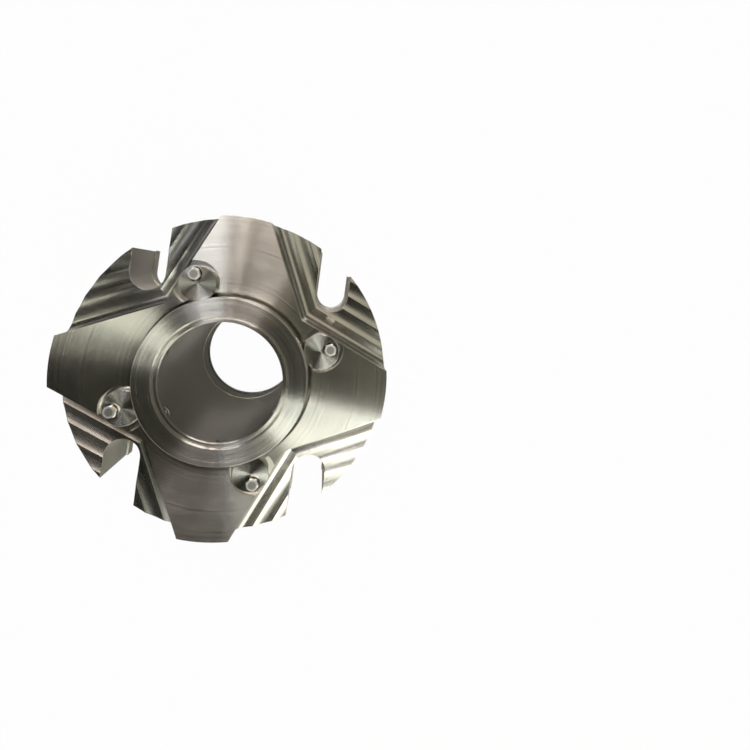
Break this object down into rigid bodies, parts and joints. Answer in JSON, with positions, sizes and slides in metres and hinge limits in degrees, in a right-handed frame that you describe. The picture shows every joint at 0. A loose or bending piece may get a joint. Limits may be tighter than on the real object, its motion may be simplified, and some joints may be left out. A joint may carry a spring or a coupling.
{
  "type": "cartridge mechanical seal",
  "caption": "Cartridge mechanical seal: four-arm gland plate with milled steps and bolt slots, shaft sleeve, drive collar and setting clips.",
  "frame": {"origin": "on the shaft's axis, in the plane of the gland's mounting face", "axes": "+Z along the shaft's axis out of the pump, to the drive collar; X and Y along the four arms; the bolt slots open to +Y and -Y and the two ports point to +Y and -Y"},
  "size_m": [0.224, 0.224, 0.1495],
  "materials": {
    "gland_steel": "milled and turned, fine tool marks",
    "turned_steel": "fine turned",
    "clip_steel": "faced, with rings from the lathe",
    "screw_steel": "bright screw steel",
    "set_screw_steel": "bright screw steel",
    "spring_steel": "drawn wire",
    "gasket_white": "plain sheet",
    "seal_carbon": "lapped carbon",
    "seal_carbide": "lapped carbide",
    "black_rubber": "smooth rubber"
  },
  "bodies": {
    "gland": {"gland_plate": "gland_steel", "gland_insert": "gland_steel", "insert_screws": "screw_steel", "insert_o_ring": "black_rubber", "gland_gasket": "gasket_white", "clip_screws": "screw_steel", "inner_lock_pins": "spring_steel", "outer_lock_pins": "spring_steel", "inner_springs": "spring_steel", "outer_springs": "spring_steel", "inner_face_o_ring": "black_rubber", "outer_face_o_ring": "black_rubber"},
    "rotor": {"sleeve": "turned_steel", "drive_collar": "turned_steel", "set_screws": "set_screw_steel", "shaft_o_ring": "black_rubber", "inner_rotary_ring": "seal_carbide", "outer_rotary_ring": "seal_carbide", "inner_rotary_o_ring": "black_rubber", "outer_rotary_o_ring": "black_rubber", "ring_carrier": "turned_steel", "carrier_screws": "screw_steel", "carrier_snap_ring": "spring_steel", "drive_pins": "spring_steel"},
    "inner_face": {"inner_floating_ring": "seal_carbon"},
    "outer_face": {"outer_floating_ring": "seal_carbon"},
    "clip_a": {"setting_clip_a": "clip_steel"},
    "clip_b": {"setting_clip_b": "clip_steel"},
    "clip_c": {"setting_clip_c": "clip_steel"},
    "clip_d": {"setting_clip_d": "clip_steel"}
  },
  "joints": [
    {"name": "rotor_spin", "type": "hinge", "parent": "gland", "child": "rotor", "pos_m": [0, 0, 0], "axis": [0, 0, 1], "continuous": true},
    {"name": "inner_face_float", "type": "slide", "parent": "gland", "child": "inner_face", "axis": [0, 0, 1], "range_m": [0, 0.0015], "stiffness_N_per_m": 12000, "springref_m": -0.004, "deforming": ["inner_springs"]},
    {"name": "outer_face_float", "type": "slide", "parent": "gland", "child": "outer_face", "axis": [0, 0, 1], "range_m": [0, 0.0015], "stiffness_N_per_m": 12000, "springref_m": -0.004, "deforming": ["outer_springs"]},
    {"name": "clip_a_turn", "type": "hinge", "parent": "gland", "child": "clip_a", "pos_m": [0.06884, 0.02823, 0.0735], "axis": [0, 0, -1], "range_deg": [0, 40]},
    {"name": "clip_b_turn", "type": "hinge", "parent": "gland", "child": "clip_b", "pos_m": [-0.02823, 0.06884, 0.0735], "axis": [0, 0, -1], "range_deg": [0, 40]},
    {"name": "clip_c_turn", "type": "hinge", "parent": "gland", "child": "clip_c", "pos_m": [-0.06884, -0.02823, 0.0735], "axis": [0, 0, -1], "range_deg": [0, 40]},
    {"name": "clip_d_turn", "type": "hinge", "parent": "gland", "child": "clip_d", "pos_m": [0.02823, -0.06884, 0.0735], "axis": [0, 0, -1], "range_deg": [0, 40]}
  ]
}
